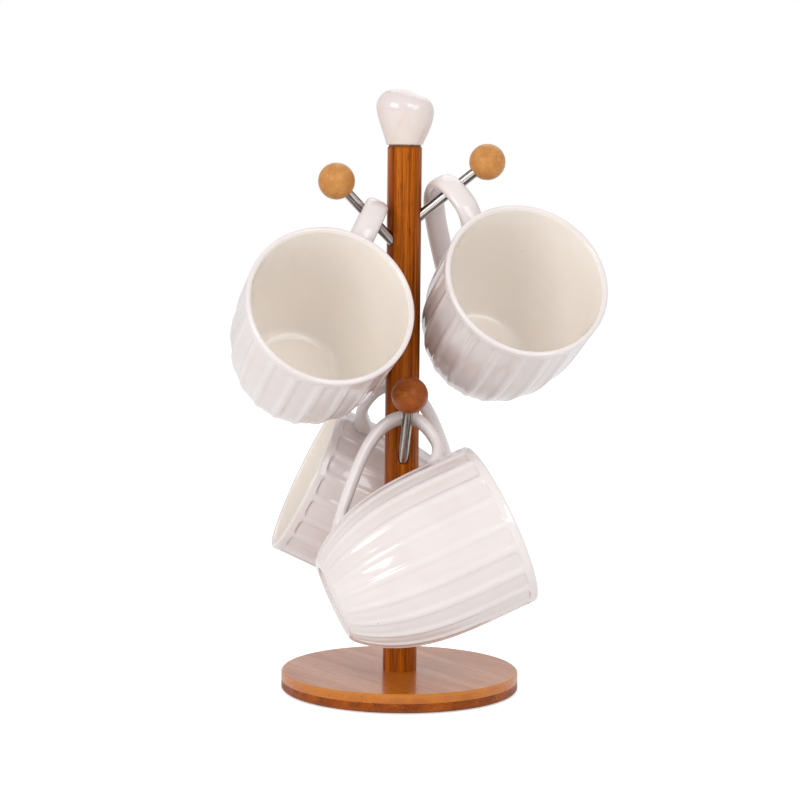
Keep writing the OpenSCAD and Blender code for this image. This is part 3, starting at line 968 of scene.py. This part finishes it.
studio = {
    "floorSize": 8.0, "floorGlow": 0.5,
    "floorColour": (0.93, 0.93, 0.93, 1), "floorShade": (0.9, 0.9, 0.9, 1),
    "worldColour": (0.9, 0.89, 0.9, 1), "worldStrength": 0.86,
    "lights": [
        {"name": "keyLight", "place": (-1.05, -1.55, 0.85), "size": 0.85, "power": 12.5,
         "colour": (1, 0.985, 0.965)},
        {"name": "fillLight", "place": (0.85, -1.5, 0.95), "size": 0.9, "power": 7,
         "colour": (0.96, 0.98, 1)},
        {"name": "backLight", "place": (0.25, 0.8, 1.4), "size": 1.1, "power": 3.5, "colour": (1, 1, 1)},
    ],
    "aim": (0, 0, 0.17),
}
cameraView = {
    "place": (0, -1.3, 0.2872), "lens": 100.07, "sensor": 36,
    "yaw": -0.001, "pitch": 0.0887, "roll": 0.0101,      # radians
}


def makeFloor():
    startFresh()
    bpy.ops.mesh.primitive_plane_add(size=studio["floorSize"], location=(0, 0, 0))
    floor = bpy.context.object
    floor.name = "studioFloor"
    paper, tree, shader = newFinish(
        "studioPaper", {"Roughness": 0.85, "Specular IOR Level": 0.1, "Emission Color": (1, 1, 1, 1)})
    ray = addNode(tree, "ShaderNodeLightPath")
    tree.links.new(sums(tree, "MULTIPLY", ray.outputs["Is Camera Ray"], studio["floorGlow"]),
                   shader.inputs["Emission Strength"])
    tone = addNode(tree, "ShaderNodeTexNoise", {"Scale": 2.0, "Detail": 1.0})
    tree.links.new(ownVector(tree), tone.inputs["Vector"])
    tree.links.new(blendColours(tree, sums(tree, "MULTIPLY", tone.outputs["Fac"], 0.1),
                                studio["floorColour"], studio["floorShade"]), shader.inputs["Base Color"])
    floor.data.materials.append(paper)
    floor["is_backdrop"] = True


def makeWorld():
    # plain white to look at, and a softer tone to light by
    world = bpy.data.worlds.new("studioWorld")
    bpy.context.scene.world = world
    world.use_nodes = True
    tree = world.node_tree
    tree.nodes.clear()
    seen = addNode(tree, "ShaderNodeBackground", {"Color": (1, 1, 1, 1), "Strength": 1.0})
    lit = addNode(tree, "ShaderNodeBackground",
                  {"Color": studio["worldColour"], "Strength": studio["worldStrength"]})
    ray = addNode(tree, "ShaderNodeLightPath")
    mix = addNode(tree, "ShaderNodeMixShader")
    out = addNode(tree, "ShaderNodeOutputWorld")
    tree.links.new(ray.outputs["Is Camera Ray"], mix.inputs[0])
    tree.links.new(lit.outputs[0], mix.inputs[1])
    tree.links.new(seen.outputs[0], mix.inputs[2])
    tree.links.new(mix.outputs[0], out.inputs["Surface"])


def makeLights():
    for spec in studio["lights"]:
        data = bpy.data.lights.new(spec["name"], "AREA")
        data.shape = "SQUARE"
        data.size = spec["size"]
        data.energy = spec["power"]
        data.color = spec["colour"]
        lamp = bpy.data.objects.new(spec["name"], data)
        bpy.context.scene.collection.objects.link(lamp)
        lamp.location = spec["place"]
        aim = Vector(studio["aim"]) - Vector(spec["place"])
        lamp.rotation_euler = aim.to_track_quat("-Z", "Y").to_euler()


def makeCamera():
    data = bpy.data.cameras.new("studioCamera")
    data.lens = cameraView["lens"]
    data.sensor_width = cameraView["sensor"]
    camera = bpy.data.objects.new("studioCamera", data)
    bpy.context.scene.collection.objects.link(camera)
    camera.matrix_world = (Matrix.Translation(cameraView["place"])
                           @ Matrix.Rotation(-cameraView["yaw"], 4, "Z")
                           @ Matrix.Rotation(math.pi / 2 - cameraView["pitch"], 4, "X")
                           @ Matrix.Rotation(cameraView["roll"], 4, "Z"))
    bpy.context.scene.camera = camera


makeFloor()
makeWorld()
makeLights()
makeCamera()
bpy.context.scene.view_settings.view_transform = "Standard"
print("studio ready")

shownLow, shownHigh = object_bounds()
for label, corners in (("cad", (*cadLow, *cadHigh)), ("shown", (*shownLow, *shownHigh))):
    print(label, "box:", [round(v, 4) for v in corners])
